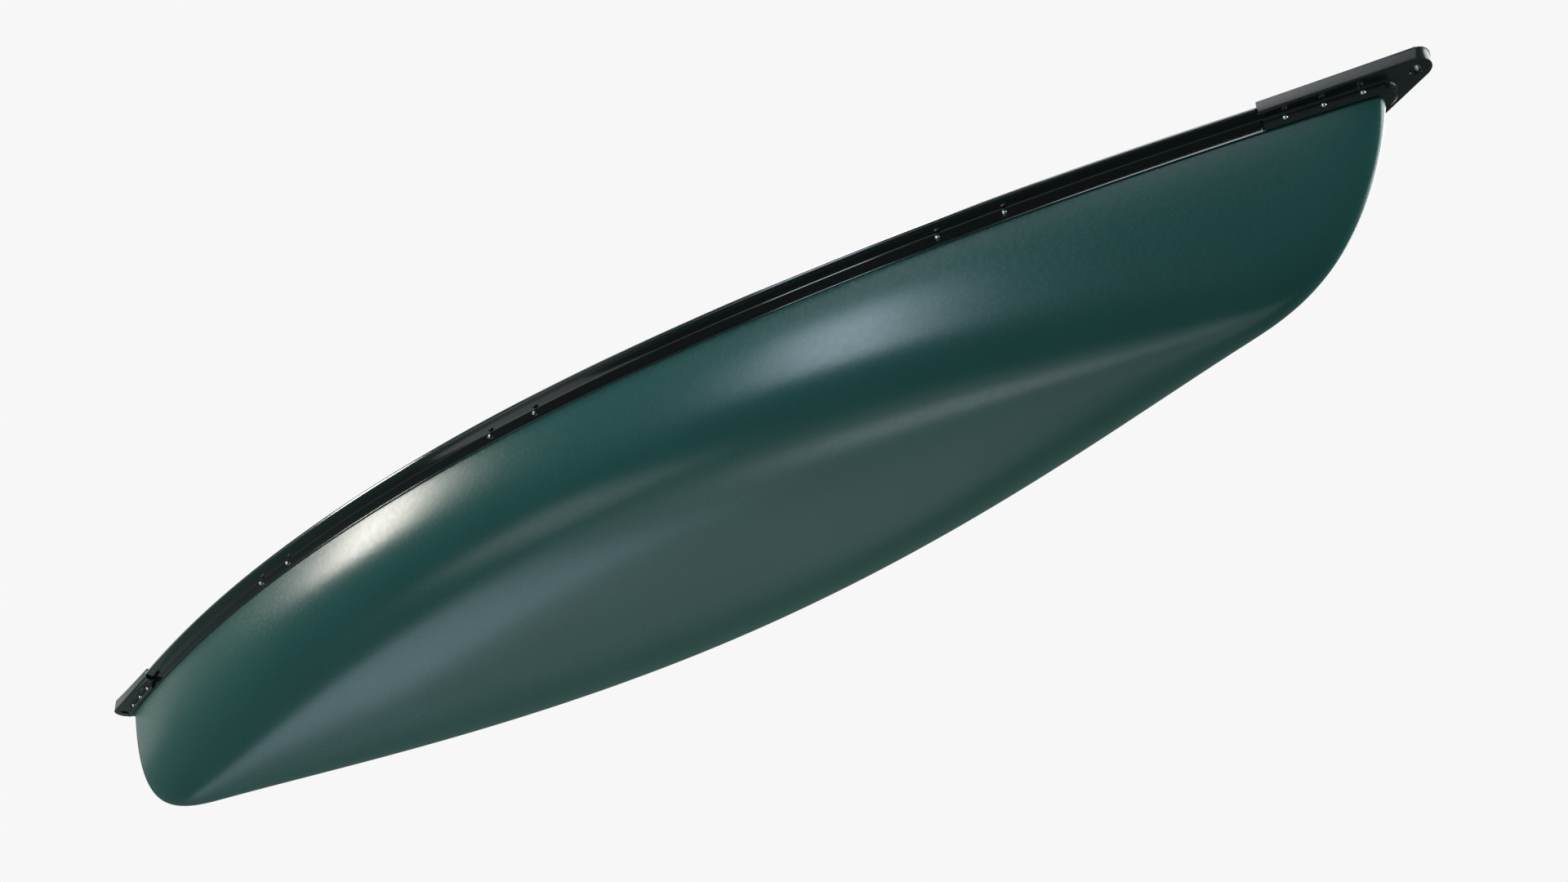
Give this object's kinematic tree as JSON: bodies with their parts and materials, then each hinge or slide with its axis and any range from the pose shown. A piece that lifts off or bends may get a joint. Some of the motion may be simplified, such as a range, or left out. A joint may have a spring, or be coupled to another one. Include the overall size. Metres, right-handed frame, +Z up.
{
  "type": "canoe",
  "caption": "Open canoe with a moulded hull, black gunwale rails, end decks with tow holes, webbed seats on brackets and a centre carrying yoke.",
  "frame": {"origin": "lowest point of the keel, amidships", "axes": "+X along the canoe towards the stern (bow at -X), +Y across towards starboard, +Z up"},
  "size_m": [4.5996, 1.03, 0.5108],
  "materials": {
    "hull_plastic": "satin dark green, three-layer moulded polyethylene",
    "gunwale_vinyl": "extruded black vinyl with a soft gloss",
    "deck_plastic": "moulded black plastic with a fine satin texture",
    "stainless_steel": "plain domed stainless heads",
    "bracket_aluminium": "bent plate, mill finish",
    "ash_wood": "oiled ash",
    "nylon_webbing": "woven black nylon strap"
  },
  "bodies": {
    "root": {"bow_deck": "deck_plastic", "bow_deck_left_rivet_1": "stainless_steel", "bow_deck_left_rivet_2": "stainless_steel", "bow_deck_left_rivet_3": "stainless_steel", "bow_deck_right_rivet_1": "stainless_steel", "bow_deck_right_rivet_2": "stainless_steel", "bow_deck_right_rivet_3": "stainless_steel", "bow_seat_front_rail": "ash_wood", "bow_seat_left_bolt_1": "stainless_steel", "bow_seat_left_bolt_2": "stainless_steel", "bow_seat_left_bracket": "bracket_aluminium", "bow_seat_left_nut_1": "stainless_steel", "bow_seat_left_nut_2": "stainless_steel", "bow_seat_left_stile": "ash_wood", "bow_seat_rear_rail": "ash_wood", "bow_seat_right_bolt_1": "stainless_steel", "bow_seat_right_bolt_2": "stainless_steel", "bow_seat_right_bracket": "bracket_aluminium", "bow_seat_right_nut_1": "stainless_steel", "bow_seat_right_nut_2": "stainless_steel", "bow_seat_right_stile": "ash_wood", "bow_seat_webbing": "nylon_webbing", "hull": "hull_plastic", "left_gunwale": "gunwale_vinyl", "right_gunwale": "gunwale_vinyl", "stern_deck": "deck_plastic", "stern_deck_left_rivet_1": "stainless_steel", "stern_deck_left_rivet_2": "stainless_steel", "stern_deck_left_rivet_3": "stainless_steel", "stern_deck_right_rivet_1": "stainless_steel", "stern_deck_right_rivet_2": "stainless_steel", "stern_deck_right_rivet_3": "stainless_steel", "stern_seat_front_rail": "ash_wood", "stern_seat_left_bolt_1": "stainless_steel", "stern_seat_left_bolt_2": "stainless_steel", "stern_seat_left_bracket": "bracket_aluminium", "stern_seat_left_nut_1": "stainless_steel", "stern_seat_left_nut_2": "stainless_steel", "stern_seat_left_stile": "ash_wood", "stern_seat_rear_rail": "ash_wood", "stern_seat_right_bolt_1": "stainless_steel", "stern_seat_right_bolt_2": "stainless_steel", "stern_seat_right_bracket": "bracket_aluminium", "stern_seat_right_nut_1": "stainless_steel", "stern_seat_right_nut_2": "stainless_steel", "stern_seat_right_stile": "ash_wood", "stern_seat_webbing": "nylon_webbing", "yoke": "ash_wood", "yoke_left_bolt_1": "stainless_steel", "yoke_left_bolt_2": "stainless_steel", "yoke_left_bracket": "bracket_aluminium", "yoke_left_nut_1": "stainless_steel", "yoke_left_nut_2": "stainless_steel", "yoke_right_bolt_1": "stainless_steel", "yoke_right_bolt_2": "stainless_steel", "yoke_right_bracket": "bracket_aluminium", "yoke_right_nut_1": "stainless_steel", "yoke_right_nut_2": "stainless_steel"}
  },
  "joints": []
}
